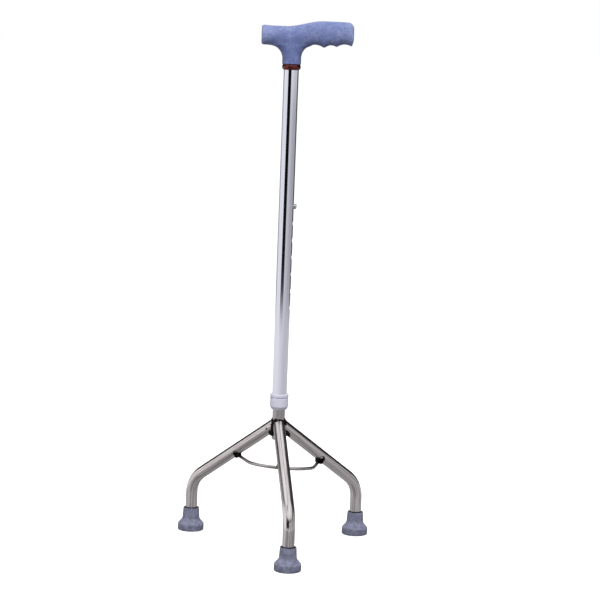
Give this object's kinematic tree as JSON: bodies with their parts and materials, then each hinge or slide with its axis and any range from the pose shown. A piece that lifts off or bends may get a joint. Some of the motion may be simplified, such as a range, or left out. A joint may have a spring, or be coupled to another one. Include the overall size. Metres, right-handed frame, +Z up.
{
  "type": "walking cane",
  "caption": "Height-adjustable walking cane with a palm handle, a snap-button height lock, a collar nut and a self-standing base of splayed legs on rubber feet.",
  "frame": {"origin": "on the floor, on the axis of the shaft, in the plane of the three soles", "axes": "+Z up along the shaft, +X towards the long end of the handle, -Y towards the front leg's side"},
  "size_m": [0.2951, 0.2732, 0.7907],
  "materials": {
    "grip_plastic": "finely mottled periwinkle moulding, matte",
    "ring_lacquer": "deep red-brown, high gloss",
    "shaft_aluminium": "bright anodised with a faint lavender tint and fine drawing lines",
    "collar_plastic": "pale lavender moulding, satin gloss",
    "bush_plastic": "plain natural nylon",
    "stem_steel": "stainless, drawn and lightly polished",
    "leg_steel": "stainless, polished along the tube",
    "rod_steel": "stainless wire, polished",
    "weld_metal": "rippled weld, darkened, half matt",
    "fastener_steel": "bright nickel plating",
    "spring_steel": "hard rolled strip",
    "foot_rubber": "blue-grey moulded rubber, dusty matte"
  },
  "bodies": {
    "base": {"stem_tube": "stem_steel", "stem_guide_bush": "bush_plastic", "stem_end_plug": "stem_steel", "button_spring": "spring_steel", "leg_front": "leg_steel", "leg_right": "leg_steel", "leg_left": "leg_steel", "hub_weld": "weld_metal", "brace_rod": "rod_steel", "brace_weld": "weld_metal", "foot_front": "foot_rubber", "foot_right": "foot_rubber", "foot_left": "foot_rubber", "foot_washer_front": "fastener_steel", "foot_washer_right": "fastener_steel", "foot_washer_left": "fastener_steel"},
    "shaft": {"upper_tube": "shaft_aluminium", "handle_grip": "grip_plastic", "handle_screw": "fastener_steel", "neck_ring": "ring_lacquer", "collar_sleeve": "collar_plastic"},
    "button": {"snap_button": "fastener_steel"},
    "collet": {"lock_collet": "bush_plastic"},
    "nut": {"lock_nut": "collar_plastic"}
  },
  "joints": [
    {"name": "height_slide", "type": "slide", "parent": "base", "child": "shaft", "axis": [0, 0, 1], "range_m": [0, 0.1524]},
    {"name": "button_press", "type": "slide", "parent": "base", "child": "button", "axis": [-1, 0, 0], "range_m": [0, 0.0055], "stiffness_N_per_m": 2500, "springref_m": -0.002, "deforming": ["button_spring"]},
    {"name": "nut_travel", "type": "slide", "parent": "shaft", "child": "collet", "axis": [0, 0, 1], "range_m": [-0.003, 0]},
    {"name": "nut_turn", "type": "hinge", "parent": "collet", "child": "nut", "pos_m": [0, 0, 0.2176], "axis": [0, 0, 1], "range_deg": [-360, 0]}
  ],
  "couplings": [
    {"joint": "nut_travel", "follows": "nut_turn", "m_per_rad": 0.000477}
  ]
}
